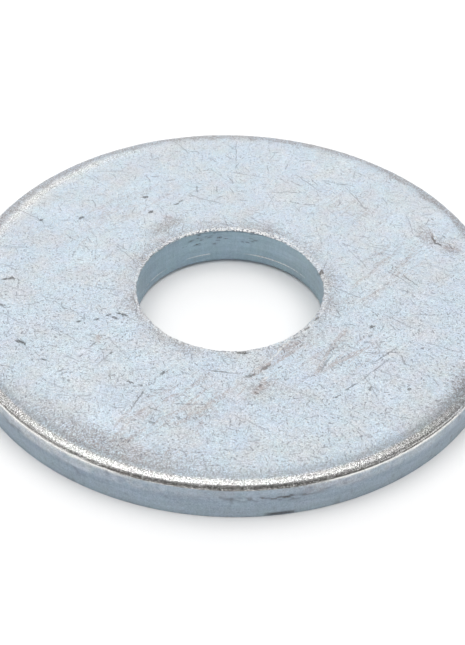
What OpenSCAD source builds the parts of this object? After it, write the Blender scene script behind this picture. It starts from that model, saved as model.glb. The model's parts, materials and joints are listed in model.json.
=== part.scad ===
// Flat washer with a large outside diameter, for an M10 bolt or stud.
// It is one disc of sheet steel, so the model is one solid: a cross-section turned round the axis.
// +Z is the washer's axis. The origin is at the centre of the lower face.
// The disc was blanked from above and its hole was pierced from below, which leaves the upper edge
// of the rim and the lower edge of the hole rounded over, and the other two edges nearly sharp.

/* [Washer] */
// Outside diameter
outer_d = 30; // [24:0.5:40]
// Diameter of the hole
hole_d = 10.5; // [6:0.1:14]
// Thickness of the sheet
thickness = 2.5; // [1.8:0.1:4]

/* [Rim] */
// How far the rounded upper edge reaches in from the rim
rim_roll_w = 1.3; // [1:0.1:1.6]
// How far the upper edge has dropped where it meets the rim
rim_roll_h = 0.5; // [0.4:0.05:0.6]
// Height of the smooth, upright band below the rounded edge
rim_land_h = 0.75; // [0.25:0.1:0.95]
// How far the broken lower part of the rim slopes in by the lower face
rim_slope = 0.1; // [0.02:0.02:0.2]

/* [Hole] */
// How far the rounded lower edge of the hole reaches out from the wall
hole_roll_w = 0.5; // [0.3:0.1:0.8]
// How far the rounded lower edge of the hole reaches up the wall
hole_roll_h = 0.25; // [0.05:0.05:0.3]
// Size of the small break on the upper edge of the hole
hole_break = 0.05; // [0.02:0.01:0.1]

/* [Hidden] */
outer_r = outer_d / 2;
hole_r = hole_d / 2;
// Where the rounded upper edge of the rim starts, and the height where it ends
roll_start = outer_r - rim_roll_w;
roll_end = thickness - rim_roll_h;
// Height where the upright band of the rim ends and the sloping part starts
slope_top = roll_end - rim_land_h;
// The rounded edge is a wide arc as far as the first slope, and then a tight arc to the second, in degrees
first_slope = 25;
second_slope = 75;
// How far each arc runs out and drops for each millimetre of its radius
wide_run = sin(first_slope);
wide_drop = 1 - cos(first_slope);
tight_run = sin(second_slope) - sin(first_slope);
tight_drop = cos(first_slope) - cos(second_slope);
// The radii at which the two arcs together run and drop by the whole of the rounded edge
both = wide_run * tight_drop - wide_drop * tight_run;
wide_r = (rim_roll_w * tight_drop - rim_roll_h * tight_run) / both;
tight_r = (rim_roll_h * wide_run - rim_roll_w * wide_drop) / both;
// Radius of the arc that leaves the lower face smoothly and rises to the wall of the hole
hole_roll_r = (hole_roll_w * hole_roll_w + hole_roll_h * hole_roll_h) / (2 * hole_roll_h);
// A cutting shape runs this far past the face that it cuts
over = 1;
$fn = 180;

// The plain cross-section of the disc, to the right of the axis
module sheet_section() {
    translate([hole_r, 0])
        square([outer_r - hole_r, thickness]);
}

// The wide arc's share of the metal that is left under the rounded edge of the rim
module under_wide_arc() {
    intersection() {
        translate([roll_start, thickness - wide_r])
            circle(r = wide_r);
        translate([roll_start, roll_end])
            square([wide_r * wide_run, rim_roll_h]);
    }
}

// The tight arc's share of it
module under_tight_arc() {
    translate([outer_r - tight_r * sin(second_slope), roll_end - tight_r * cos(second_slope)])
        circle(r = tight_r);
}

// What the blanking took off the upper corner of the rim
module rim_roll_cut() {
    difference() {
        translate([roll_start, roll_end])
            square([rim_roll_w + over, rim_roll_h + over]);
        under_wide_arc();
        under_tight_arc();
    }
}

// What the break took off the lower part of the rim
module rim_slope_cut() {
    polygon([
        [outer_r, slope_top],
        [outer_r - rim_slope, 0],
        [outer_r - rim_slope, -over],
        [outer_r + over, -over],
        [outer_r + over, slope_top]
    ]);
}

// What the piercing took off the lower corner of the hole
module hole_roll_cut() {
    difference() {
        translate([hole_r - over, -over])
            square([over + hole_roll_w, over + hole_roll_h]);
        translate([hole_r + hole_roll_w, hole_roll_r])
            circle(r = hole_roll_r);
    }
}

// The small slanted break on the upper corner of the hole
module hole_break_cut() {
    polygon([
        [hole_r, thickness - hole_break],
        [hole_r + hole_break, thickness],
        [hole_r, thickness + hole_break]
    ]);
}

module washer() {
    color("lightsteelblue")
        rotate_extrude()
            difference() {
                sheet_section();
                rim_roll_cut();
                rim_slope_cut();
                hole_roll_cut();
                hole_break_cut();
            }
}

washer();
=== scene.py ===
import json
import math

import bpy
import numpy as np
from mathutils import Matrix, Vector


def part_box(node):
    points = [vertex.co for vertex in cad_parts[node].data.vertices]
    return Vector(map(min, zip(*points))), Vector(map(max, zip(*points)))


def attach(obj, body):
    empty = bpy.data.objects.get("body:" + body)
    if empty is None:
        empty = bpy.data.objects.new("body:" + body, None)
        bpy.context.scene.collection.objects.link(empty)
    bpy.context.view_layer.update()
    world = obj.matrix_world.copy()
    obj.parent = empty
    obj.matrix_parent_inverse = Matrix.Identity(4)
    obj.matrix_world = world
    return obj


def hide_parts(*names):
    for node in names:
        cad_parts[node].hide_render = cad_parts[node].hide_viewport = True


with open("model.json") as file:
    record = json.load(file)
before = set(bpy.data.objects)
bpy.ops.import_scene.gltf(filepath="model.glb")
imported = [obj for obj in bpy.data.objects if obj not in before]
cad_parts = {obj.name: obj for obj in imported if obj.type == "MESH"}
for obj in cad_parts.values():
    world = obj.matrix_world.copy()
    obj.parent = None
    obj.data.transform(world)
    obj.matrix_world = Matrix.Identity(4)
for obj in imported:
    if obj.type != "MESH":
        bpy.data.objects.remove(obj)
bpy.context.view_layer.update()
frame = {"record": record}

# Flat washer, punched from sheet steel and zinc plated. The mesh is worked out in millimetres and
# written in metres. The rim was cut from above and the hole from below, so the upper edge of the rim
# and the lower edge of the hole are rounded over, and the metal tore in the last part of each cut.

MM = 0.001

# ---------------------------------------------------------------------------------------------------
# Sizes, in millimetres and degrees
# ---------------------------------------------------------------------------------------------------

MOUNTS = {m["name"]: m for m in frame["record"]["mounts"]}
OUTER_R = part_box("washer")[1].x / MM
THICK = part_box("washer")[1].z / MM
HOLE_R = MOUNTS["bolt_hole"]["dims"]["r_mm"]

# The rounded upper edge of the rim: a wide arc to the first slope, then a tight arc to the second
ROLL_W = 1.3
ROLL_H = 0.5
FIRST_SLOPE = 25
BAND_SLOPE = 14
SECOND_SLOPE = 75
ROLL_START = OUTER_R - ROLL_W
ROLL_END = THICK - ROLL_H

# The rim below it: a smooth band, then the torn metal, sloping in to a small round at the foot
TEAR_Z = 1.25
SLOPE = 0.1
FOOT_R = 0.06
FOOT_X = OUTER_R - SLOPE

# The hole: a round at the bottom, a smooth band up to the ridge, then torn metal with small tears in it,
# up to the burr
HOLE_ROLL_W = 0.5
HOLE_ROLL_H = 0.25
HOLE_FOOT = HOLE_R + HOLE_ROLL_W
RIDGE_Z = 0.7
TEARS_Z = 1.45
TEARS_TOP = 2.25
LIP_R = 0.05
BURR = 0.06

# How far the finely divided rings reach: on the top from the hole, below from the foot and from the hole
LIP_RINGS = 0.4
FOOT_RINGS = 0.4
UNDER_RINGS = 1.4
ROUND_RINGS = 0.5

# Number of points round each kind of ring
RIM_POINTS = 1200
FACE_POINTS = 600
UNDER_POINTS = 300

# ---------------------------------------------------------------------------------------------------
# Repeatable noise
# ---------------------------------------------------------------------------------------------------


def lattice(i, j, k, seed):
    """A repeatable random number from 0 to 1 for each whole-numbered place."""
    h = (i * 374761393 + j * 668265263 + k * 1440662683 + seed * 974634777) & 0xFFFFFFFF
    h = ((h ^ (h >> 13)) * 1274126177) & 0xFFFFFFFF
    return ((h ^ (h >> 16)) & 0xFFFFFF) / 0xFFFFFF


def grain(points, size, seed):
    """Smooth noise from -1 to 1 at the points, with lumps about size across. size may differ by axis."""
    places = points / np.array(size)
    whole = np.floor(places).astype(np.int64)
    part = places - whole
    part = part * part * (3 - 2 * part)
    total = np.zeros(len(points))
    for corner in np.ndindex(2, 2, 2):
        weight = np.prod(np.where(corner, part, 1 - part), axis=1)
        total += weight * lattice(*(whole + corner).T, seed)
    return 2 * total - 1


def smooth(low, high, x):
    """0 at low, 1 at high, and a smooth step between them. low may be the greater."""
    t = np.clip((x - low) / (high - low), 0, 1)
    return t * t * (3 - 2 * t)


# ---------------------------------------------------------------------------------------------------
# The cross-section, as rings of (radius, height, points round)
# ---------------------------------------------------------------------------------------------------


def line(start, end, steps, count):
    """Rings along a straight line, without its last end."""
    return [
        (start[0] + (end[0] - start[0]) * i / steps, start[1] + (end[1] - start[1]) * i / steps, count)
        for i in range(steps)
    ]


def arc(centre, radius, first, last, steps, count):
    """Rings along an arc, without its last end. Angles are in degrees from the outward direction."""
    angles = [math.radians(first + (last - first) * i / steps) for i in range(steps)]
    return [(centre[0] + radius * math.cos(a), centre[1] + radius * math.sin(a), count) for a in angles]


def roll_arcs():
    """The rounded upper edge of the rim, as two arcs that meet smoothly."""
    first, second = math.radians(FIRST_SLOPE), math.radians(SECOND_SLOPE)
    wide_run, wide_drop = math.sin(first), 1 - math.cos(first)
    tight_run, tight_drop = math.sin(second) - math.sin(first), math.cos(first) - math.cos(second)
    both = wide_run * tight_drop - wide_drop * tight_run
    wide_r = (ROLL_W * tight_drop - ROLL_H * tight_run) / both
    tight_r = (ROLL_H * wide_run - ROLL_W * wide_drop) / both
    tight_centre = (OUTER_R - tight_r * math.sin(second), ROLL_END - tight_r * math.cos(second))
    wide_centre = (ROLL_START, THICK - wide_r)
    inner = arc(wide_centre, wide_r, 90, 90 - BAND_SLOPE, 5, RIM_POINTS)
    outer = arc(wide_centre, wide_r, 90 - BAND_SLOPE, 90 - FIRST_SLOPE, 7, RIM_POINTS)
    tight = arc(tight_centre, tight_r, 90 - FIRST_SLOPE, 90 - SECOND_SLOPE, 10, RIM_POINTS)
    return inner + outer + tight


def top_rings():
    """From the hole's upper edge over the top to the end of the rounded edge."""
    out = arc((HOLE_R + LIP_R, THICK - LIP_R), LIP_R, 180, 90, 3, FACE_POINTS)
    out += line((HOLE_R + LIP_R, THICK), (HOLE_R + LIP_RINGS, THICK), 4, FACE_POINTS)
    out += line((HOLE_R + LIP_RINGS, THICK), (ROLL_START - 0.1, THICK), 19, FACE_POINTS)
    out += line((ROLL_START - 0.1, THICK), (ROLL_START, THICK), 1, RIM_POINTS)
    return out + roll_arcs()


def rim_rings():
    """Down the rim and round its foot."""
    out = line((OUTER_R, ROLL_END), (OUTER_R, TEAR_Z), 9, RIM_POINTS)
    out += line((OUTER_R, TEAR_Z), (FOOT_X, FOOT_R), 10, RIM_POINTS)
    return out + arc((FOOT_X - FOOT_R, FOOT_R), FOOT_R, 0, -90, 3, RIM_POINTS)


def under_rings():
    """In along the lower face to the round at the bottom of the hole."""
    out = line((FOOT_X - FOOT_R, 0), (FOOT_X - FOOT_RINGS, 0), 1, RIM_POINTS)
    out += line((FOOT_X - FOOT_RINGS, 0), (FOOT_X - UNDER_RINGS, 0), 2, FACE_POINTS)
    out += line((FOOT_X - UNDER_RINGS, 0), (HOLE_FOOT + ROUND_RINGS, 0), 8, UNDER_POINTS)
    return out + line((HOLE_FOOT + ROUND_RINGS, 0), (HOLE_FOOT, 0), 1, FACE_POINTS)


def hole_rings():
    """Over the round at the bottom of the hole and up its wall."""
    roll_r = (HOLE_ROLL_W ** 2 + HOLE_ROLL_H ** 2) / (2 * HOLE_ROLL_H)
    roll_end = 270 - math.degrees(math.asin(HOLE_ROLL_W / roll_r))
    out = arc((HOLE_FOOT, roll_r), roll_r, 270, roll_end, 6, FACE_POINTS)
    out += line((HOLE_R, HOLE_ROLL_H), (HOLE_R, RIDGE_Z - 0.1), 3, FACE_POINTS)
    out += line((HOLE_R, RIDGE_Z - 0.1), (HOLE_R, RIDGE_Z + 0.1), 7, FACE_POINTS)
    out += line((HOLE_R, RIDGE_Z + 0.1), (HOLE_R, TEARS_Z), 4, FACE_POINTS)
    return out + line((HOLE_R, TEARS_Z), (HOLE_R, THICK - LIP_R), 19, FACE_POINTS)


def outward(section):
    """The direction straight out of the surface at each ring, as (outward, up)."""
    places = np.array([ring[:2] for ring in section])
    along = np.roll(places, -1, axis=0) - np.roll(places, 1, axis=0)
    along /= np.linalg.norm(along, axis=1)[:, None]
    return np.stack([-along[:, 1], along[:, 0]], axis=1)


# ---------------------------------------------------------------------------------------------------
# Points round the rings, and the zones that they are in
# ---------------------------------------------------------------------------------------------------

# Leeway for telling which zone a point is in
CLOSE = 0.001


class Surface:
    """Every point of the mesh, ring after ring, with its angle in degrees and the zones that it is in."""

    def __init__(self, section):
        counts = [count for _, _, count in section]
        directions = outward(section)
        self.spans = list(zip(np.cumsum([0] + counts[:-1]).tolist(), counts))
        self.radius = np.repeat([ring[0] for ring in section], counts)
        self.height = np.repeat([ring[1] for ring in section], counts)
        self.out = np.repeat(directions[:, 0], counts)
        self.up = np.repeat(directions[:, 1], counts)
        self.turn = np.concatenate([np.arange(count) * 2 * math.pi / count for count in counts])
        self.angle = np.degrees(self.turn)
        self.points = self.place(self.radius, self.height)
        at_rim = (self.radius > FOOT_X - CLOSE) & (self.height < ROLL_END + CLOSE)
        in_hole = (self.radius < HOLE_R + CLOSE) & (self.height > 10 * CLOSE)
        on_top = (self.height > ROLL_END) & (self.radius > HOLE_R + CLOSE)
        self.rim = at_rim.astype(float)
        self.bore = in_hole.astype(float)
        self.top = on_top.astype(float)
        self.roll = self.top * smooth(ROLL_START - 0.25, ROLL_START + 0.35, self.radius)

    def place(self, radius, height):
        """The points at these radii and heights."""
        return np.stack([radius * np.cos(self.turn), radius * np.sin(self.turn), height], axis=1)


def near(angle, centre, reach):
    """1 at an angle round the washer, falling to 0 at reach degrees either side."""
    away = np.abs((angle - centre + 180) % 360 - 180)
    return smooth(reach, 0, away)


# ---------------------------------------------------------------------------------------------------
# Relief: how far each point stands out from the plain section
# ---------------------------------------------------------------------------------------------------


def roll_relief(s):
    """The lightly pebbled, slightly wavy metal of the rounded edge."""
    pebbles = 0.0045 * grain(s.points, 0.3, 11) + 0.0045 * grain(s.points, 0.16, 12)
    waves = 0.010 * grain(s.points, 1.7, 13) + 0.005 * grain(s.points, 0.7, 14)
    return s.roll * (pebbles + waves)


def edge_rise(s):
    """How much higher the line and the lip along the edge are in front on the left."""
    return 0.04 * near(s.angle, 230, 30)


def edge_line(s):
    """The slightly sunk line just above the edge, which widens in front, as 0 to 1. Its dark colour is
    painted shade.
    """
    front = near(s.angle, 270, 34)
    height = ROLL_END + 0.115 + edge_rise(s) + 0.01 * grain(s.points, 0.8, 15)
    width = 0.03 + 0.065 * front
    gap = np.abs(s.height - height)
    broken = smooth(-0.9, -0.3, grain(s.points, 0.45, 16) + 0.6 * grain(s.points, 0.18, 17))
    round_front = smooth(0.35, -0.1, np.sin(s.turn))
    return s.top * smooth(width + 0.02, width - 0.015, gap) * broken * round_front * (1 - 0.35 * front)


def edge_lip(s):
    """The thin lip that stands up along the edge, except right in front, as 0 to 1. It is painted bright, a
    painted highlight.
    """
    above = s.height - ROLL_END - edge_rise(s)
    below = smooth(0.1, 0.06, above) * smooth(-0.05, 0, above)
    sides = smooth(16, 27, np.abs(s.angle - 268)) * smooth(0.5, 0.1, np.sin(s.turn))
    broken = smooth(-0.8, -0.2, grain(s.points, 0.6, 18) + 0.5 * grain(s.points, 0.2, 19))
    return np.maximum(s.rim, s.top) * below * sides * broken


def tear_line(s):
    """How far below the ragged line each point of the rim is, as 0 to 1."""
    flat = s.points * (1, 1, 0)
    ragged = 0.06 * grain(flat, 2.5, 21) + 0.04 * grain(flat, 0.6, 22) + 0.03 * grain(flat, 0.22, 23)
    return smooth(TEAR_Z + 0.05, TEAR_Z - 0.05, s.height - ragged)


def rim_pits(s):
    """Small pits where the metal let go, mostly in a run just below the ragged line in front."""
    spots = smooth(0.05, 0.3, grain(s.points, (0.3, 0.3, 0.09), 31) + 0.5 * grain(s.points, 0.9, 32))
    line_up = smooth(0.3, 0.05, np.abs(s.height - TEAR_Z - 0.1 - 0.12 * grain(s.points, 0.7, 34)))
    places = 0.08 + near(s.angle, 280, 12) + 0.2 * near(s.angle, 265, 10) + 0.5 * near(s.angle, 222, 9)
    scattered = 0.35 * smooth(0.6, 0.8, grain(s.points, 0.3, 33))
    away = np.abs(s.angle - 281.3 - 1.5 * grain(s.points, 0.6, 35))
    chips = smooth(0.26, 0.14, s.height) * smooth(3.6, 2.6, away)
    return s.rim * np.clip(spots * line_up * places + scattered + chips, 0, 1)


def rim_relief(s, torn, pits):
    """Upright scoring on the smooth band, and rougher metal set back a little below it."""
    scoring = 0.0025 * grain(s.points, (0.13, 0.13, 1.5), 41) + 0.0015 * grain(s.points, 0.3, 42)
    rough = 0.006 * grain(s.points, (0.2, 0.2, 0.9), 43) + 0.003 * grain(s.points, 0.25, 44)
    edge = smooth(ROLL_END - 0.12, ROLL_END, s.height) * 0.008 * grain(s.points, 0.22, 45)
    return s.rim * ((1 - torn) * scoring + torn * (rough - 0.018) + edge - 0.03 * pits)


# Loose groups of tears in the wall of the hole: angle round the washer, number
TEAR_GROUPS = [(118, 7), (110, 8), (102, 6), (95, 3), (79, 4), (74, 3), (20, 2)]


def bore_tears(s):
    """Short, shallow tears across the wall of the hole, near its upper edge."""
    chance = np.random.default_rng(3)
    total = np.zeros(len(s.points))
    for centre, count in TEAR_GROUPS:
        for _ in range(count):
            angle = centre + chance.normal(0, 2.0)
            height = chance.uniform(TEARS_Z, TEARS_TOP)
            length = chance.uniform(0.07, 0.16)
            across = np.radians(s.angle - angle) * HOLE_R / length
            tilt = chance.normal(0, 0.1) * across * length
            upright = (s.height - height + tilt) / chance.uniform(0.022, 0.038)
            tear = smooth(1.3, 0.6, np.hypot(across, upright)) * chance.uniform(0.5, 1.0)
            total = np.maximum(total, tear)
    return s.bore * total


def ridge(s):
    """The raised line in the hole where the cut ended and the tear began, broken in places. It is also
    painted bright, a painted highlight.
    """
    flat = s.points * (1, 1, 0)
    wander = RIDGE_Z + 0.04 * grain(flat, 1.4, 61)
    whole = 2.0 * near(s.angle, 58, 28) + 0.5 * near(s.angle, 108, 20) + 0.5 * near(s.angle, 150, 20)
    whole += 0.5 * near(s.angle, 270, 80)
    broken = smooth(-0.25, 0.3, grain(flat, 0.5, 62) + 0.6 * grain(flat, 0.16, 63))
    broken = np.maximum(broken, near(s.angle, 62, 24))
    return s.bore * smooth(0.045, 0.01, np.abs(s.height - wander)) * np.clip(whole, 0, 1) * broken


def bore_relief(s, tears, raised):
    """The wall of the hole: upright scoring, rougher and set back a little above the ridge."""
    scoring = 0.002 * grain(s.points, (0.12, 0.12, 1.6), 71)
    above = smooth(RIDGE_Z - 0.05, RIDGE_Z + 0.05, s.height)
    rough = above * (0.004 * grain(s.points, (0.25, 0.25, 0.8), 72) - 0.012)
    return s.bore * (scoring + rough) - 0.03 * tears + 0.02 * raised


def burr(s):
    """How far the crumbly upper edge of the hole leans in."""
    close = smooth(0.3, 0, THICK - s.height) * smooth(HOLE_R + 0.25, HOLE_R, s.radius)
    flat = s.points * (1, 1, 0)
    leaning = 0.3 + 3.9 * near(s.angle, 48, 105) + 2.0 * near(s.angle, 315, 60)
    return close * BURR * (leaning + 0.4 * grain(flat, 0.9, 81) + 0.45 * grain(flat, 0.17, 82))


def lip_relief(s):
    """The crumbs along the upper edge of the hole, which catch the light."""
    close = smooth(0.12, 0.04, THICK - s.height) * smooth(HOLE_R + 0.2, HOLE_R + 0.05, s.radius)
    return close * (0.014 * grain(s.points, 0.19, 83) + 0.01 * grain(s.points, 0.6, 84) + 0.006)


def face_relief(s):
    """The slight unevenness of the flat faces."""
    return s.top * (0.0016 * grain(s.points, 3.1, 91) + 0.0006 * grain(s.points, 0.7, 92))


# ---------------------------------------------------------------------------------------------------
# Wear, stains, polish, painted highlights and painted shade, kept on the points for the material
# ---------------------------------------------------------------------------------------------------

# Worn or stained patches on the top: place, half-length, half-width, lean in degrees, strength
PATCHES = [
    (3.0, -4.95, 0.75, 0.35, 25, 0.85),
    (11.7, 4.6, 0.35, 0.2, 70, 1.2),
    (11.1, 5.1, 1.3, 0.55, 110, 0.75),
    (12.3, 4.0, 1.1, 0.5, 115, 0.75),
    (1.55, -8.0, 0.9, 0.5, 50, 0.6),
    (-3.8, 5.3, 1.6, 0.6, 42, 0.9),
    (-1.0, -9.9, 2.9, 0.3, 42, 0.3),
    (5.4, -5.0, 1.5, 0.2, 57, 0.5),
    (6.3, -4.2, 1.2, 0.16, 62, 0.4),
    (2.1, -8.2, 1.6, 1.0, 20, 0.22),
    (-4.7, -9.1, 0.9, 0.22, 66, 0.35),
    (-3.5, -7.1, 0.35, 0.2, 10, 0.6),
    (-3.9, -10.3, 1.1, 0.5, -20, 0.25),
]

# Areas of the top face that were rubbed by other metal, in the same order
RUBBED = [
    (8.6, 1.6, 4.68, 2.21, 55, 0.8),
    (-2.4, -9.6, 5.2, 2.21, 35, 1.0),
    (2.9, -6.2, 3.64, 1.43, 52, 1.0),
    (6.2, -5.2, 3.38, 1.95, 45, 0.8),
    (-6.0, 7.2, 4.16, 1.56, 35, 0.6),
    (7.5, 7.5, 4.16, 1.95, -40, 0.6),
    (-8.4, 1.8, 2.6, 1.3, 50, 0.6),
    (-4.6, -12.2, 4.16, 0.585, -21, 1.0),
]


def patch(s, x, y, length, width, lean):
    """1 in the middle of an oval on the top face, falling to 0 at its edge."""
    c, d = math.cos(math.radians(lean)), math.sin(math.radians(lean))
    dx, dy = s.points[:, 0] - x, s.points[:, 1] - y
    far = np.hypot((dx * c + dy * d) / length, (dy * c - dx * d) / width)
    return s.top * smooth(1.15, 0.35, far)


def patches(s, places):
    """The ovals of a list together, as 0 to the strongest one's strength."""
    total = np.zeros(len(s.points))
    for x, y, length, width, lean, strength in places:
        total = np.maximum(total, strength * patch(s, x, y, length, width, lean))
    return total


def rubbed(s):
    """Where the top face is rubbed, as 0 to 1, with a little of it everywhere."""
    return s.top * np.maximum(patches(s, RUBBED), 0.2)


def rim_wear(s, cloud):
    """Wear of the rounded edge: at the back, on the right, and in a band in front on the left."""
    spread = s.radius + 0.25 * grain(s.points, 0.5, 102)
    behind = smooth(-0.1, 0.4, np.sin(s.turn)) * smooth(ROLL_START + 0.35, ROLL_START + 0.75, spread)
    band = near(s.angle, 244, 34) * smooth(ROLL_START - 0.8, ROLL_START - 0.3, spread)
    band *= smooth(ROLL_START + 0.9, ROLL_START + 0.7, s.radius)
    right = near(s.angle, 331, 25) * smooth(ROLL_START - 0.1, ROLL_START + 0.4, spread)
    return s.top * (1.8 * behind + band + 1.3 * right) * (0.5 + 0.5 * cloud)


def hole_wear_and_shade(s, cloud):
    """Wear round the hole, with painted shade in a thin line along its front edge."""
    collar = smooth(HOLE_R + 1.2, HOLE_R + 0.1, s.radius) * (1 + 0.5 * near(s.angle, 115, 80))
    painted_edge_shade = 0.8 * smooth(HOLE_R + 0.14, HOLE_R + 0.03, s.radius) * smooth(0, -0.4, np.sin(s.turn))
    return s.top * np.maximum(collar * cloud, painted_edge_shade)


def stains_and_edge_shade(s):
    """Grey wear: patches on the top, the rounded edge, round the hole, and a smear on the rim in front; and
    painted shade along the hole's front edge.
    """
    cloud = 0.5 + 0.5 * grain(s.points, 1.1, 101)
    smear = 0.6 * s.rim * smooth(TEAR_Z - 0.1, TEAR_Z + 0.2, s.height) * near(s.angle, 280, 24)
    total = np.maximum(patches(s, PATCHES), rim_wear(s, cloud))
    total = np.maximum(total, hole_wear_and_shade(s, cloud))
    total = np.maximum(total, smear * smooth(0.3, 0.7, cloud))
    return np.clip(total, 0, 1)


def rim_polish_and_highlight(s):
    """Bright metal on the upper part of the rim, and a painted highlight along its edge."""
    sides = 0.1 + 0.4 * near(s.angle, 225, 45) + 0.25 * near(s.angle, 305, 30)
    upper = sides * smooth(TEAR_Z - 0.1, TEAR_Z + 0.35, s.height)
    upper *= np.clip(0.7 + 0.5 * grain(s.points, 0.35, 111) + 0.4 * grain(s.points, 0.17, 113), 0, 1)
    edge = smooth(ROLL_END - 0.16, ROLL_END - 0.05, s.height)
    edge *= 0.1 + 0.8 * smooth(8, 30, np.abs(s.angle - 270))
    edge *= np.clip(0.8 + 0.5 * grain(s.points, 0.3, 114), 0, 1)
    return s.rim * np.maximum(upper, edge)


def roll_polish(s):
    """Bright metal on the rounded edge in front, and a paler zone inside it at the back on the left."""
    rounded = smooth(ROLL_START + 0.75, ROLL_START + 0.92, s.radius) * smooth(0.3, -0.2, np.sin(s.turn))
    rounded *= 1 - 0.85 * near(s.angle, 335, 25)
    halo = smooth(ROLL_START - 0.3, ROLL_START + 0.2, s.radius)
    halo *= 0.8 * smooth(ROLL_START + 0.7, ROLL_START + 0.3, s.radius) * near(s.angle, 142, 50)
    return s.top * (rounded + halo)


def glitter(s):
    """Where the painted sparkle goes, on the crumbs along the upper edge of the hole: mostly at the back.
    """
    close = smooth(0.16, 0.05, THICK - s.height) * smooth(HOLE_R + 0.24, HOLE_R + 0.1, s.radius)
    return close * (0.45 + 0.55 * near(s.angle, 95, 75))


def shade_line(s, sunk):
    """Painted shade: the dark line above the edge, and a faint darker zone painted inside the bright band
    above it.
    """
    inside = smooth(ROLL_START + 0.35, ROLL_START + 0.7, s.radius)
    inside *= smooth(ROLL_START + 0.98, ROLL_START + 0.9, s.radius) * smooth(0.2, -0.3, np.sin(s.turn))
    paler = 0.85 - 0.35 * near(s.angle, 318, 42)
    return np.maximum(sunk * paler, 0.27 * s.top * inside)


# ---------------------------------------------------------------------------------------------------
# The mesh
# ---------------------------------------------------------------------------------------------------


def join(a, b):
    """Faces between two rings, where one may have twice the other's points."""
    (a0, an), (b0, bn) = a, b
    faces = []
    if an == bn:
        for k in range(an):
            n = (k + 1) % an
            faces.append((a0 + k, b0 + k, b0 + n, a0 + n))
    elif bn == 2 * an:
        for k in range(an):
            n = (k + 1) % an
            faces.append((a0 + k, b0 + 2 * k, b0 + 2 * k + 1))
            faces.append((a0 + k, b0 + 2 * k + 1, a0 + n))
            faces.append((a0 + n, b0 + 2 * k + 1, b0 + (2 * k + 2) % bn))
    else:
        for k in range(bn):
            n = (k + 1) % bn
            faces.append((a0 + 2 * k, b0 + k, a0 + 2 * k + 1))
            faces.append((a0 + 2 * k + 1, b0 + k, b0 + n))
            faces.append((a0 + 2 * k + 1, b0 + n, a0 + (2 * k + 2) % an))
    return faces


def keep(mesh, name, values):
    """Stores a number on every point, for the material to read."""
    layer = mesh.attributes.new(name, "FLOAT", "POINT")
    layer.data.foreach_set("value", np.asarray(values, dtype=np.float32))


def closed_mesh(points, spans):
    """A closed mesh through all the rings, from points in millimetres."""
    faces = []
    for a, b in zip(spans, spans[1:] + spans[:1]):
        faces += join(a, b)
    mesh = bpy.data.meshes.new("washer_body")
    mesh.from_pydata((points * MM).tolist(), [], faces)
    mesh.update()
    mesh.shade_smooth()
    return mesh


def washer_mesh():
    """The washer, with what its material needs to know."""
    s = Surface(top_rings() + rim_rings() + under_rings() + hole_rings())
    torn, pits, tears, raised = tear_line(s), rim_pits(s), bore_tears(s), ridge(s)
    sunk, lip = edge_line(s), edge_lip(s)
    lift = roll_relief(s) + rim_relief(s, torn, pits) + bore_relief(s, tears, raised) + face_relief(s)
    lift += lip_relief(s) - 0.012 * sunk + lip * s.top * (OUTER_R - s.radius)
    points = s.place(s.radius + lift * s.out - burr(s), np.maximum(s.height + lift * s.up, 0))
    mesh = closed_mesh(points, s.spans)
    keep(mesh, "top", s.top * smooth(ROLL_START + 0.9, ROLL_START + 0.2, s.radius))
    keep(mesh, "wall", np.maximum(s.rim, s.bore))
    keep(mesh, "bore", s.bore)
    # Paler: painted light towards the rim's foot, and the hole paler on the right
    keep(mesh, "pale", s.rim * smooth(TEAR_Z + 0.3, 0, s.height) + s.bore * near(s.angle, 25, 65))
    keep(mesh, "pits", np.clip(pits + tears, 0, 1))
    # Painted shade: the dark line above the edge and the darker zone inside the bright band
    keep(mesh, "line", shade_line(s, sunk))
    # Painted highlight: the bright line along the lip of the edge, and half as strong on the ridge in the
    # hole
    keep(mesh, "lip", np.maximum(lip, 0.5 * raised))
    # Wear, and painted shade along the front edge of the hole
    keep(mesh, "stain", stains_and_edge_shade(s))
    keep(mesh, "rub", rubbed(s))
    # Bright metal, with painted highlights along the rim's edge and on the ridge in the hole
    keep(mesh, "polish", np.clip(rim_polish_and_highlight(s) + roll_polish(s) + raised, 0, 1))
    keep(mesh, "glitter", glitter(s))
    return mesh


# ---------------------------------------------------------------------------------------------------
# Material: colours, and the strokes on the top face
# ---------------------------------------------------------------------------------------------------

BLUE_ZINC = (0.625, 0.715, 0.80, 1)
GREY_ZINC = (0.645, 0.68, 0.705, 1)
# Bare metal, and the colour of the painted highlights along the rim's edge and on the ridge
BARE_AND_HIGHLIGHT = (0.79, 0.785, 0.76, 1)
# The rim and the hole are darker than the top: partly duller cut metal, partly painted shade. The rim's
# foot colour is painted light, which offsets the contact shadow that the rim reflects.
RIM_ZINC_AND_SHADE = (0.295, 0.36, 0.43, 1)
FOOT_PAINTED_LIGHT = (0.38, 0.455, 0.515, 1)
BORE_ZINC_AND_SHADE = (0.31, 0.41, 0.475, 1)
PALE_BORE = (0.375, 0.475, 0.53, 1)
# The colour of painted highlights: the lip, the ridge, the sparkle on the crumbs, the glints and the
# gleaming lines
BRIGHT = (0.90, 0.90, 0.88, 1)
# Grey wear, and the painted shade along the front edge of the hole
WEAR_AND_SHADE = (0.365, 0.33, 0.33, 1)
SHADE = (0.22, 0.225, 0.255, 1)
SCUFF = (0.46, 0.41, 0.405, 1)
# Near black: the dark marks, the darker pits and tears, and painted shade in the line above the edge
DARK_AND_SHADE = (0.075, 0.065, 0.055, 1)

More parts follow.
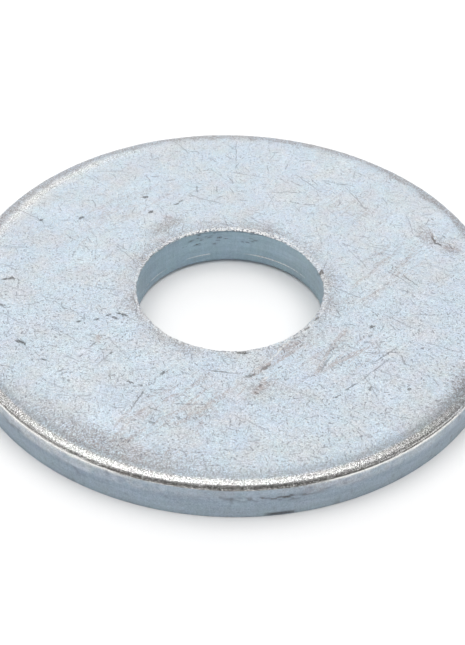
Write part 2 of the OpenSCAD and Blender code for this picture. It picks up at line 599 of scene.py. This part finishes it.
# Rubbed, brownish-grey streaks on the top face: from, to, half-width, strength
SCUFFS = [
    (6.5, -2.9, 5.35, -4.7, 0.18, 0.65),
    (5.35, -4.8, 4.4, -7.2, 0.14, 0.7),
    (2.3, -5.9, 1.1, -7.3, 0.16, 0.8),
    (1.85, -7.6, 1.3, -8.5, 0.2, 0.75),
    (0.95, -7.8, 0.45, -8.75, 0.07, 0.8),
    (11.3, 5.6, 11.5, 4.5, 0.14, 0.8),
    (10.55, 4.95, 10.9, 5.4, 0.1, 0.7),
    (12.0, 4.1, 12.9, 3.75, 0.2, 0.8),
    (7.15, -4.8, 5.3, -6.2, 0.2, 0.75),
    (3.6, -4.4, 2.6, -5.0, 0.28, 0.9),
    (3.6, -4.9, 2.2, -6.3, 0.12, 0.8),
    (2.2, -6.0, 1.2, -6.9, 0.2, 0.6),
    (1.9, -7.2, 1.6, -8.1, 0.15, 0.6),
    (-4.95, -9.75, -5.8, -11.2, 0.14, 0.55),
    (-3.95, 6.25, -3.55, 6.1, 0.16, 0.6),
    (-7.1, -4.3, -7.0, -4.7, 0.2, 0.8),
    (-7.6, 6.0, -7.55, 6.6, 0.08, 0.5),
    (-6.2, 7.1, -5.7, 7.2, 0.15, 0.5),
    (-1.4, -10.5, -1.35, -10.85, 0.15, 0.6),
    (-1.55, -11.4, -1.5, -11.7, 0.12, 0.5),
    (-3.6, -11.2, -0.5, -9.8, 0.16, 0.35),
    (-8.9, 2.95, -8.25, 4.15, 0.09, 0.45),
    (7.8, 3.6, 9.4, 2.6, 0.1, 0.3),
    (-7.6, -11.9, -6.0, -12.9, 0.16, 0.45),
    (-5.6, -13.1, -3.6, -13.75, 0.16, 0.55),
]

# Dark marks on the top face: from, to, half-width, strength
MARKS = [
    (-8.85, 5.8, -8.65, 6.0, 0.09, 0.95),
    (-11.15, 5.55, -10.95, 5.65, 0.08, 0.9),
    (-5.25, 8.0, -5.05, 8.05, 0.09, 0.95),
    (-4.85, 6.55, -4.7, 6.7, 0.11, 0.95),
    (-3.45, 7.35, -3.2, 7.5, 0.07, 0.9),
    (-3.15, 7.65, -3.0, 7.8, 0.07, 0.8),
    (-12.75, 0.25, -11.95, 0.32, 0.08, 1.0),
    (-12.3, 0.4, -12.05, 0.42, 0.07, 0.9),
    (-12.6, -1.9, -12.35, -1.97, 0.08, 0.9),
    (-11.35, -4.85, -11.05, -4.9, 0.12, 1.0),
    (-11.05, -4.95, -10.9, -5.1, 0.09, 1.0),
    (-8.3, -3.15, -8.1, -3.1, 0.08, 0.9),
    (-7.3, -2.95, -7.15, -2.9, 0.08, 0.9),
    (-6.75, -2.65, -6.5, -2.45, 0.06, 0.9),
    (-6.2, -2.35, -5.55, -2.6, 0.08, 1.0),
    (-6.35, -2.7, -6.15, -2.85, 0.08, 0.9),
    (-7.45, -5.25, -7.15, -4.75, 0.05, 0.6),
    (-6.35, -5.65, -6.2, -5.55, 0.06, 0.8),
    (-9.95, -6.2, -9.6, -6.3, 0.07, 0.8),
    (-2.2, 9.3, -2.15, 8.6, 0.04, 0.7),
    (-1.05, 9.3, -0.95, 8.6, 0.035, 0.5),
    (-5.3, -7.75, -4.9, -7.95, 0.05, 0.9),
    (-4.7, -8.0, -4.45, -8.1, 0.045, 0.8),
    (-4.35, -8.4, -4.95, -9.75, 0.04, 0.7),
    (-4.1, -9.65, -3.55, -9.95, 0.045, 0.6),
    (-4.05, -10.7, -3.7, -10.85, 0.06, 0.7),
    (-2.65, -10.3, -2.35, -10.5, 0.06, 0.6),
    (-7.05, -6.75, -6.25, -5.55, 0.035, 0.4),
    (-6.3, -7.25, -6.1, -7.7, 0.05, 0.6),
    (-1.2, -6.75, 0.45, -7.0, 0.035, 0.75),
    (-1.45, -6.4, -0.9, -6.35, 0.035, 0.6),
    (-3.55, -7.15, -3.4, -7.0, 0.09, 0.8),
    (9.2, -4.35, 7.45, -6.05, 0.04, 0.6),
    (8.6, -5.4, 6.8, -7.4, 0.03, 0.5),
    (6.75, -7.45, 6.05, -8.05, 0.045, 0.75),
    (5.8, -8.4, 5.5, -8.65, 0.055, 0.85),
    (9.05, -5.15, 9.35, -6.05, 0.035, 0.6),
    (7.6, -3.05, 7.75, -2.95, 0.1, 1.0),
    (7.45, -3.8, 7.6, -3.7, 0.06, 0.6),
    (7.2, -4.3, 7.35, -4.2, 0.06, 0.5),
    (9.35, -7.9, 9.45, -7.8, 0.08, 0.9),
    (7.3, -8.0, 7.4, -7.8, 0.08, 0.8),
    (9.5, 1.5, 10.4, 0.45, 0.035, 0.65),
    (11.42, 4.9, 11.6, 4.35, 0.08, 0.9),
    (11.6, 4.4, 11.9, 4.2, 0.08, 1.0),
    (12.05, 5.1, 12.15, 4.95, 0.06, 0.7),
    (11.5, 6.65, 11.6, 6.5, 0.06, 0.6),
    (10.5, 5.0, 10.65, 4.9, 0.05, 0.6),
    (12.35, 4.3, 12.5, 3.9, 0.05, 0.6),
    (2.15, -6.2, 1.85, -6.6, 0.07, 0.75),
    (1.9, -6.35, 1.65, -6.75, 0.05, 0.7),
    (1.35, -6.95, 1.05, -7.25, 0.08, 0.8),
    (1.1, -7.0, 0.75, -7.35, 0.05, 0.65),
    (1.75, -7.75, 1.55, -7.9, 0.05, 0.7),
    (1.35, -8.35, 1.5, -8.5, 0.05, 0.7),
    (5.4, -5.4, 4.75, -6.75, 0.04, 0.55),
    (5.2, -5.7, 4.95, -6.2, 0.04, 0.6),
    (5.05, 1.72, 4.95, 1.3, 0.1, 1.0),
    (4.77, -2.31, 4.57, -2.6, 0.07, 0.8),
    (4.03, -3.39, 4.23, -3.2, 0.07, 0.9),
    (0.4, -5.35, 0.9, -5.35, 0.1, 1.0),
    (3.3, -4.2, 3.75, -3.9, 0.06, 0.6),
    (3.75, -4.8, 3.95, -4.4, 0.05, 0.5),
]

# Painted highlights: bright lines beside the rubbed streaks on the top face: from, to, half-width, strength
GLEAMS = [
    (3.2, -4.2, 2.5, -5.3, 0.07, 0.8),
    (2.75, -5.0, 2.05, -6.0, 0.06, 0.7),
    (1.6, -6.4, 1.2, -6.85, 0.05, 0.7),
    (2.1, -7.1, 1.7, -7.45, 0.05, 0.6),
    (5.65, -5.2, 5.05, -6.4, 0.05, 0.5),
    (11.55, 5.3, 11.7, 4.7, 0.05, 0.6),
    (12.2, 4.5, 12.7, 4.2, 0.06, 0.5),
    (-6.1, -2.15, -5.6, -2.4, 0.04, 0.5),
]

# Scattered scratches: size of a cell, half-length, half-width, share of the cells that have one, lean and
# how far it varies in radians, and a number that makes the pattern its own
LONG_SCRATCHES = (2.6, 1.3, 0.04, 0.7, 0.8, 0.9, 1)
SHORT_SCRATCHES = (1.0, 0.4, 0.04, 0.7, 0.8, 1.2, 2)
HAIRS = (0.42, 0.17, 0.042, 0.85, 0.7, 1.3, 3)
PEPPER = (0.26, 0.08, 0.052, 0.8, 0.5, 1.6, 4)
GLINTS = (0.3, 0.12, 0.04, 0.8, 0.7, 1.3, 5)

# The direction of the rubbed streaks, and how far the bump stands out
STREAKS_LEAN = math.radians(-48)
BUMP_MM = 0.012

# How far the edges of the strokes are frayed, and a share of a stroke that is too small to be seen
FRAY_MM = 0.24
NUDGE = 1e-7

# ---------------------------------------------------------------------------------------------------
# Material: nodes
# ---------------------------------------------------------------------------------------------------


def put(tree, kind, sockets=None, **settings):
    """Adds a node. sockets maps each input to a value, or to the output that feeds it."""
    made = tree.nodes.new(kind)
    for name, value in settings.items():
        setattr(made, name, value)
    for name, value in (sockets or {}).items():
        if isinstance(value, bpy.types.NodeSocket):
            tree.links.new(value, made.inputs[name])
        else:
            made.inputs[name].default_value = value
    return made


def math_node(tree, operation, a, b=0.0):
    """One operation on numbers."""
    return put(tree, "ShaderNodeMath", {0: a, 1: b}, operation=operation).outputs[0]


def multiply(tree, first, *others):
    """The product of the values."""
    for other in others:
        first = math_node(tree, "MULTIPLY", first, other)
    return first


def add(tree, first, *others):
    """The sum of the values."""
    for other in others:
        first = math_node(tree, "ADD", first, other)
    return first


def vector_node(tree, operation, a, b=(0, 0, 0)):
    """One operation on places or colours."""
    return put(tree, "ShaderNodeVectorMath", {0: a, 1: b}, operation=operation).outputs[0]


def remap(tree, value, low, high, to_low=0.0, to_high=1.0):
    """value from low..high to to_low..to_high along a smooth step."""
    sockets = {0: value, 1: low, 2: high, 3: to_low, 4: to_high}
    return put(tree, "ShaderNodeMapRange", sockets, interpolation_type="SMOOTHSTEP").outputs[0]


def remap_line(tree, value, to_low, to_high):
    """value from 0..1 to to_low..to_high along a straight line."""
    return put(tree, "ShaderNodeMapRange", {0: value, 1: 0.0, 2: 1.0, 3: to_low, 4: to_high}).outputs[0]


def blend(tree, factor, a, b):
    """Colour a where factor is 0, and colour b where it is 1."""
    return put(tree, "ShaderNodeMix", {0: factor, 6: a, 7: b}, data_type="RGBA").outputs[2]


def noise(tree, where, per_mm, detail=2.0, rough=0.5):
    """A noise node with about per_mm lumps to the millimetre. Output 0 is its value."""
    sockets = {"Vector": where, "Scale": per_mm, "Detail": detail, "Roughness": rough}
    return put(tree, "ShaderNodeTexNoise", sockets)


def shaken(tree, places, mm, per_mm, reach):
    """The places, each moved sideways by noise, by up to about reach."""
    sideways = vector_node(tree, "MULTIPLY", noise(tree, mm, per_mm).outputs["Color"], (reach, reach, 0))
    return vector_node(tree, "ADD", places, sideways)


def turned(tree, places, angle):
    """The places, turned round the Z axis."""
    sockets = {"Vector": places, "Angle": angle}
    return put(tree, "ShaderNodeVectorRotate", sockets, rotation_type="Z_AXIS").outputs[0]


def stored(tree, name):
    """A number kept on the mesh's points."""
    return put(tree, "ShaderNodeAttribute", attribute_name=name).outputs["Fac"]


def scratches(tree, where, cell, length, width, share, lean, spread, seed):
    """Thin straight scratches, at most one in each cell of a scattered pattern, as 0 to 1."""
    moved = vector_node(tree, "ADD", where, (seed * 7.3, seed * 3.1, 0))
    scaled = vector_node(tree, "MULTIPLY", moved, (1 / cell, 1 / cell, 0))
    cells = put(tree, "ShaderNodeTexVoronoi", {"Vector": scaled, "Scale": 1.0}, voronoi_dimensions="2D")
    away = vector_node(tree, "SUBTRACT", scaled, cells.outputs["Position"])
    dice = put(tree, "ShaderNodeSeparateColor", {0: cells.outputs["Color"]})
    angle = remap_line(tree, dice.outputs[0], lean - spread, lean + spread)
    axes = put(tree, "ShaderNodeSeparateXYZ", {0: turned(tree, away, angle)})
    along = remap(tree, math_node(tree, "ABSOLUTE", axes.outputs[0]), length / cell, 0.5 * length / cell)
    across = remap(tree, math_node(tree, "ABSOLUTE", axes.outputs[1]), width / cell, 0.2 * width / cell)
    kept = math_node(tree, "LESS_THAN", dice.outputs[1], share)
    depth = remap_line(tree, dice.outputs[2], 0.4, 1.0)
    return multiply(tree, along, across, kept, depth)


def marks(tree, where, places):
    """
    The strokes of a list, each a thin oval, as 0 to 1. Each stroke is made to wait for the one before,
    by a nudge too small to matter, since the shader has no room to work on all of them at once.
    """
    total = multiply(tree, 0.0, 0.0)
    for x0, y0, x1, y1, width, strength in places:
        nudge = multiply(tree, total, NUDGE)
        sockets = {
            "Vector": vector_node(tree, "ADD", where, nudge),
            "Location": ((x0 + x1) / 2, (y0 + y1) / 2, 0),
            "Rotation": (0, 0, math.atan2(y1 - y0, x1 - x0)),
            "Scale": (math.hypot(x1 - x0, y1 - y0) / 2 + width, width, 1),
        }
        moved = put(tree, "ShaderNodeMapping", sockets, vector_type="TEXTURE").outputs[0]
        far = put(tree, "ShaderNodeVectorMath", {0: moved}, operation="LENGTH").outputs["Value"]
        total = math_node(tree, "MAXIMUM", total, remap(tree, far, 1.1, 0.6, 0.0, strength))
    return total


class Fields:
    """What the material's layers share: places in mm, numbers kept on the points, noises and marks."""

    def __init__(self, tree):
        self.tree = tree
        where = put(tree, "ShaderNodeTexCoord").outputs["Object"]
        self.mm = vector_node(tree, "MULTIPLY", where, (1 / MM, 1 / MM, 1 / MM))
        self.bent = shaken(tree, self.mm, self.mm, 1.3, 0.35)
        self.curled = shaken(tree, self.bent, self.mm, 3.5, 0.1)
        frayed = shaken(tree, self.mm, self.mm, 7.0, FRAY_MM)
        frayed = vector_node(tree, "SUBTRACT", frayed, (FRAY_MM / 2, FRAY_MM / 2, 0))
        self.flat = vector_node(tree, "MULTIPLY", frayed, (1, 1, 0))
        self.add_stored(tree)
        self.add_noises(tree)
        long_ones = scratches(tree, self.bent, *LONG_SCRATCHES)
        short_ones = scratches(tree, self.bent, *SHORT_SCRATCHES)
        self.scored = math_node(tree, "MAXIMUM", long_ones, short_ones)
        self.marked = multiply(tree, marks(tree, self.flat, MARKS), self.top)
        # Painted highlights: the white sparkle on the crumbs round the hole
        self.white = multiply(tree, self.glitter, remap(tree, self.crumbs, 0.47, 0.56))

    def add_stored(self, tree):
        """Adds the numbers kept on the mesh's points, each 0 to 1."""
        self.top = stored(tree, "top")
        self.wall = stored(tree, "wall")
        self.bore = stored(tree, "bore")
        self.pale = stored(tree, "pale")
        self.pits = stored(tree, "pits")
        # Painted shade above the edge
        self.line = stored(tree, "line")
        self.lip = stored(tree, "lip")
        self.stain = stored(tree, "stain")
        self.rub = stored(tree, "rub")
        self.bright = stored(tree, "polish")
        # Where the painted sparkle goes
        self.glitter = stored(tree, "glitter")

    def add_noises(self, tree):
        """Adds noises from coarse to fine, stretched ones, and calm, which falls towards the back."""
        self.cloud = noise(tree, self.mm, 0.45, 4.0, 0.6).outputs[0]
        self.mottle = noise(tree, self.mm, 2.2, 3.0, 0.6).outputs[0]
        self.speck = noise(tree, self.mm, 7.0, 3.0, 0.7).outputs[0]
        self.crumbs = noise(tree, self.mm, 8.0, 2.0, 0.6).outputs[0]
        self.fine = noise(tree, self.mm, 14.0, 2.0, 0.6).outputs[0]
        drawn = vector_node(tree, "MULTIPLY", turned(tree, self.bent, STREAKS_LEAN), (0.35, 2.6, 1))
        self.rubs = noise(tree, drawn, 1.0, 4.0, 0.7).outputs[0]
        upright = vector_node(tree, "MULTIPLY", self.mm, (1, 1, 0.15))
        self.streaks = noise(tree, upright, 5.0, 3.0, 0.6).outputs[0]
        level = vector_node(tree, "MULTIPLY", self.mm, (0.35, 0.35, 3.0))
        self.layers = noise(tree, level, 1.0, 3.0, 0.6).outputs[0]
        depth = put(tree, "ShaderNodeSeparateXYZ", {0: self.mm}).outputs[1]
        self.calm = remap(tree, depth, -4.0, 8.0, 1.0, 0.62)


def plate_colour(f):
    """The plate's colour: blue to grey on the top; darker on the rim and in the hole, partly duller cut
    metal and partly painted shade; painted lighter towards the rim's foot; bare metal and painted
    highlights where bright.
    """
    tree = f.tree
    face = blend(tree, remap(tree, f.cloud, 0.38, 0.66, 0.0, 0.75), BLUE_ZINC, GREY_ZINC)
    rim = blend(tree, f.pale, RIM_ZINC_AND_SHADE, FOOT_PAINTED_LIGHT)
    hole = blend(tree, f.pale, BORE_ZINC_AND_SHADE, PALE_BORE)
    colour = blend(tree, f.wall, face, blend(tree, f.bore, rim, hole))
    colour = blend(tree, multiply(tree, f.bright, 0.9), colour, BARE_AND_HIGHLIGHT)
    hue = noise(tree, f.mm, 0.9, 4.0, 0.75).outputs["Color"]
    hue = vector_node(tree, "MULTIPLY", hue, (0.12, 0.12, 0.12))
    hue = vector_node(tree, "ADD", hue, (0.94, 0.94, 0.94))
    return vector_node(tree, "MULTIPLY", colour, hue)


def speckled(f, colour):
    """Fine light and dark speckle, streaks on the walls, and small glints on the top."""
    tree = f.tree
    tone = multiply(tree, remap_line(tree, f.speck, 0.66, 1.34), remap_line(tree, f.fine, 0.5, 1.5))
    strength = add(tree, f.calm, multiply(tree, f.stain, 0.35), multiply(tree, f.wall, -0.4), f.bright)
    tone = math_node(tree, "POWER", tone, strength)
    bands = multiply(tree, remap_line(tree, f.streaks, 0.88, 1.12), remap_line(tree, f.layers, 0.78, 1.22))
    bands = math_node(tree, "MAXIMUM", bands, math_node(tree, "SUBTRACT", 1.0, f.wall))
    tone = multiply(tree, tone, bands, remap_line(tree, f.mottle, 0.92, 1.08))
    colour = vector_node(tree, "MULTIPLY", colour, tone)
    glints = scratches(tree, f.curled, *GLINTS)
    return blend(tree, multiply(tree, glints, f.top, 0.5), colour, BRIGHT)


def worn(f, colour):
    """Grey wear with painted shade along the hole's front edge, areas and lines rubbed brownish, and
    painted highlights beside the rubbed lines.
    """
    tree = f.tree
    patchy = remap(tree, add(tree, f.speck, f.fine), 1.12, 0.88, 0.25, 1.0)
    colour = blend(tree, multiply(tree, f.stain, patchy, 0.8), colour, WEAR_AND_SHADE)
    areas = multiply(tree, f.rub, remap(tree, f.rubs, 0.47, 0.63), patchy, 0.85)
    colour = blend(tree, areas, colour, SCUFF)
    lines = multiply(tree, marks(tree, f.flat, SCUFFS), f.top, patchy)
    colour = blend(tree, lines, colour, SCUFF)
    gleams = multiply(tree, marks(tree, f.flat, GLEAMS), f.top, 0.8)
    return blend(tree, gleams, colour, BRIGHT)


def scratched(f, colour):
    """Hairlines and pepper, fainter towards the back and here and there, and longer scratches."""
    tree = f.tree
    pepper = scratches(tree, f.curled, *PEPPER)
    specks = math_node(tree, "MAXIMUM", pepper, scratches(tree, f.curled, *HAIRS))
    busy = add(tree, remap(tree, f.mottle, 0.3, 0.7, 0.3, 0.95), multiply(tree, f.stain, 0.2))
    busy = multiply(tree, math_node(tree, "MINIMUM", busy, 1.0), f.top, f.calm)
    colour = blend(tree, multiply(tree, specks, busy), colour, SHADE)
    return blend(tree, multiply(tree, f.scored, f.top, 0.5), colour, SHADE)


def edged(f, colour):
    """Painted sparkle on the crumbs round the hole, white with dark specks, and a painted highlight along
    the lip at the edge.
    """
    tree = f.tree
    colour = blend(tree, f.white, colour, BRIGHT)
    dark_crumbs = multiply(tree, f.glitter, remap(tree, f.crumbs, 0.42, 0.36))
    colour = blend(tree, dark_crumbs, colour, SHADE)
    lip = multiply(tree, f.lip, remap(tree, f.fine, 0.3, 0.5, 0.5, 1.0))
    return blend(tree, lip, colour, BRIGHT)


def darkened(f, colour):
    """Darker colour in the pits and tears, painted shade in the line above the edge, and the dark marks."""
    tree = f.tree
    pits = multiply(tree, f.pits, remap(tree, f.fine, 0.36, 0.56, 0.4, 1.0), 0.9)
    colour = blend(tree, pits, colour, DARK_AND_SHADE)
    # Painted shade in the line above the edge
    painted_line_shade = multiply(tree, f.line, remap(tree, f.fine, 0.6, 0.4, 0.65, 1.0))
    colour = blend(tree, painted_line_shade, colour, DARK_AND_SHADE)
    marked = multiply(tree, f.marked, remap(tree, f.fine, 0.34, 0.56, 0.25, 0.85))
    return blend(tree, marked, colour, DARK_AND_SHADE)


def roughness(f):
    """Satin, with rougher walls and wear, and smoother bright metal."""
    tree = f.tree
    satin = remap_line(tree, f.mottle, 0.26, 0.40)
    walls = multiply(tree, f.wall, 0.08)
    return add(tree, satin, walls, multiply(tree, f.bright, -0.2), multiply(tree, f.stain, 0.12))


def bump(f):
    """Speckle, stronger on bright metal, streaks on the walls, and sunk scratches and marks."""
    tree = f.tree
    speckle = add(tree, f.speck, multiply(tree, f.fine, 0.6))
    speckle = multiply(tree, speckle, remap_line(tree, f.bright, 1.0, 1.4))
    streaks = multiply(tree, f.streaks, f.wall)
    height = add(tree, speckle, streaks, multiply(tree, f.scored, -0.8), multiply(tree, f.marked, -1.5))
    sockets = {"Height": height, "Strength": 1.0, "Distance": BUMP_MM * MM}
    return put(tree, "ShaderNodeBump", sockets).outputs[0]


def zinc():
    """Bright zinc plate with a pale blue passivate: speckled, scratched, worn at the edges, with painted
    highlights and painted shade.
    """
    material = bpy.data.materials.new("zinc_plate")
    material.use_nodes = True
    tree = material.node_tree
    f = Fields(tree)
    colour = plate_colour(f)
    for layer in (speckled, worn, scratched, edged, darkened):
        colour = layer(f, colour)
    # The painted sparkle is also less metallic, so that it shows white
    metal = math_node(tree, "SUBTRACT", 1.0, multiply(tree, f.white, 0.85))
    inputs = tree.nodes["Principled BSDF"].inputs
    tree.links.new(colour, inputs["Base Color"])
    tree.links.new(metal, inputs["Metallic"])
    tree.links.new(roughness(f), inputs["Roughness"])
    tree.links.new(bump(f), inputs["Normal"])
    return material


# ---------------------------------------------------------------------------------------------------
# Studio
# ---------------------------------------------------------------------------------------------------

# The camera: its place in mm, how far down it looks and its roll in degrees, its lens and sensor in mm
CAMERA_MM = (0.109, -77.6, 67.87)
CAMERA_PITCH = 41.20
CAMERA_ROLL = 1.42
LENS_MM = 102.47
SENSOR_MM = 36

# The light tent's brightness on each side, as (degrees above the horizon, brightness)
TENT = {
    "front": [
        (0, 0.25), (14, 0.2), (24, 0.22), (34, 0.3), (54, 0.42), (74, 0.5), (84, 0.6), (90, 0.75)
    ],
    "back": [
        (0, 0.75), (20, 0.9), (32, 1.2), (46, 1.2), (55, 1.0), (66, 0.8), (76, 0.6), (84, 0.55), (90, 0.65)
    ],
    "left": [
        (0, 1.5), (14, 1.4), (21, 0.5), (26, 0.15), (33, 0.12), (42, 0.5), (55, 0.7), (90, 0.75)
    ],
    "right": [
        (0, 1.3), (6, 0.95), (14, 0.45), (22, 0.22), (50, 0.2), (60, 0.45), (90, 0.75)
    ],
}
TENT_PEAK = 4.0

# The bright strip across the top of the tent: its brightness, and how far it reaches each way, where
# 0 is straight up and 1 is the horizon
STRIP = 3.8
STRIP_LEFT = 0.68
STRIP_RIGHT = 0.52
STRIP_FRONT = 0.095
STRIP_BACK = 0.0

# Half the side of the floor, and the fill light's size, power and place, in metres and watts
FLOOR_HALF = 4.0
FILL_SIZE = 0.8
FILL_WATTS = 3.0
FILL_AT = (0.09, -0.10, 0.6)


def make_camera():
    """The camera, which looks down at the washer from in front."""
    data = bpy.data.cameras.new("camera")
    data.sensor_width = SENSOR_MM
    data.lens = LENS_MM
    camera = bpy.data.objects.new("camera", data)
    tilt = Matrix.Rotation(math.radians(90 - CAMERA_PITCH), 4, "X")
    roll = Matrix.Rotation(math.radians(CAMERA_ROLL), 4, "Z")
    camera.matrix_world = Matrix.Translation(Vector(CAMERA_MM) * MM) @ tilt @ roll
    data.clip_start = 0.01
    data.clip_end = 20
    bpy.context.scene.collection.objects.link(camera)
    bpy.context.scene.camera = camera


def make_floor():
    """The white floor that the washer lies on."""
    mesh = bpy.data.meshes.new("floor")
    corners = [(-1, -1), (1, -1), (1, 1), (-1, 1)]
    mesh.from_pydata([(x * FLOOR_HALF, y * FLOOR_HALF, 0) for x, y in corners], [], [(0, 1, 2, 3)])
    floor = bpy.data.objects.new("floor", mesh)
    bpy.context.scene.collection.objects.link(floor)
    material = bpy.data.materials.new("white_floor")
    material.use_nodes = True
    shader = material.node_tree.nodes["Principled BSDF"]
    shader.inputs["Base Color"].default_value = (0.9, 0.9, 0.9, 1)
    shader.inputs["Roughness"].default_value = 0.9
    shader.inputs["Specular IOR Level"].default_value = 0.1
    mesh.materials.append(material)


def belt(tree, height, stops):
    """Brightness by height above the horizon, from a list of (degrees, brightness)."""
    ramp = put(tree, "ShaderNodeValToRGB", {0: height})
    elements = ramp.color_ramp.elements
    while len(elements) < len(stops):
        elements.new(0.5)
    for element, (degrees, level) in zip(elements, stops):
        element.position = math.sin(math.radians(degrees))
        element.color = (level / TENT_PEAK, level / TENT_PEAK, level / TENT_PEAK, 1)
    return ramp.outputs[0]


def strip(tree, x, y):
    """The bright strip overhead, as 0 to 1."""
    front = remap(tree, y, -STRIP_FRONT - 0.02, -STRIP_FRONT + 0.02)
    back = remap(tree, y, STRIP_BACK + 0.02, STRIP_BACK - 0.02)
    left = remap(tree, x, -STRIP_LEFT - 0.08, -STRIP_LEFT + 0.08)
    right = remap(tree, x, STRIP_RIGHT + 0.08, STRIP_RIGHT - 0.08)
    return multiply(tree, front, back, left, right)


def make_tent():
    """The light tent, as a world with a bright strip overhead and grey sides."""
    world = bpy.data.worlds.new("tent")
    bpy.context.scene.world = world
    world.use_nodes = True
    tree = world.node_tree
    where = put(tree, "ShaderNodeTexCoord").outputs["Generated"]
    axes = put(tree, "ShaderNodeSeparateXYZ", {0: where})
    level = vector_node(tree, "NORMALIZE", vector_node(tree, "MULTIPLY", where, (1, 1, 0)))
    bearing = put(tree, "ShaderNodeSeparateXYZ", {0: level})
    total = None
    for side, axis, sign in (("front", 1, -1), ("back", 1, 1), ("left", 0, -1), ("right", 0, 1)):
        facing = math_node(tree, "MAXIMUM", multiply(tree, bearing.outputs[axis], sign), 0.0)
        share = math_node(tree, "POWER", facing, 2.0)
        part = vector_node(tree, "MULTIPLY", belt(tree, axes.outputs[2], TENT[side]), share)
        total = part if total is None else vector_node(tree, "ADD", total, part)
    above = math_node(tree, "GREATER_THAN", axes.outputs[2], 0.0)
    lamp = multiply(tree, strip(tree, axes.outputs[0], axes.outputs[1]), above, STRIP / TENT_PEAK)
    total = vector_node(tree, "ADD", total, lamp)
    background = tree.nodes["Background"]
    background.inputs["Strength"].default_value = TENT_PEAK
    tree.links.new(total, background.inputs["Color"])


def make_fill():
    """A broad light overhead that brightens the floor and doesn't show in the metal."""
    data = bpy.data.lights.new("fill", "AREA")
    data.size = FILL_SIZE
    data.energy = FILL_WATTS
    light = bpy.data.objects.new("fill", data)
    light.location = FILL_AT
    light.visible_glossy = False
    light.visible_camera = False
    bpy.context.scene.collection.objects.link(light)


# ---------------------------------------------------------------------------------------------------
# Put together
# ---------------------------------------------------------------------------------------------------

make_camera()
make_floor()
make_tent()
make_fill()
bpy.context.scene.view_settings.view_transform = "Standard"

washer = bpy.data.objects.new("flat_washer", washer_mesh())
bpy.context.scene.collection.objects.link(washer)
washer.data.materials.append(zinc())
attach(washer, "root")
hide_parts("washer")
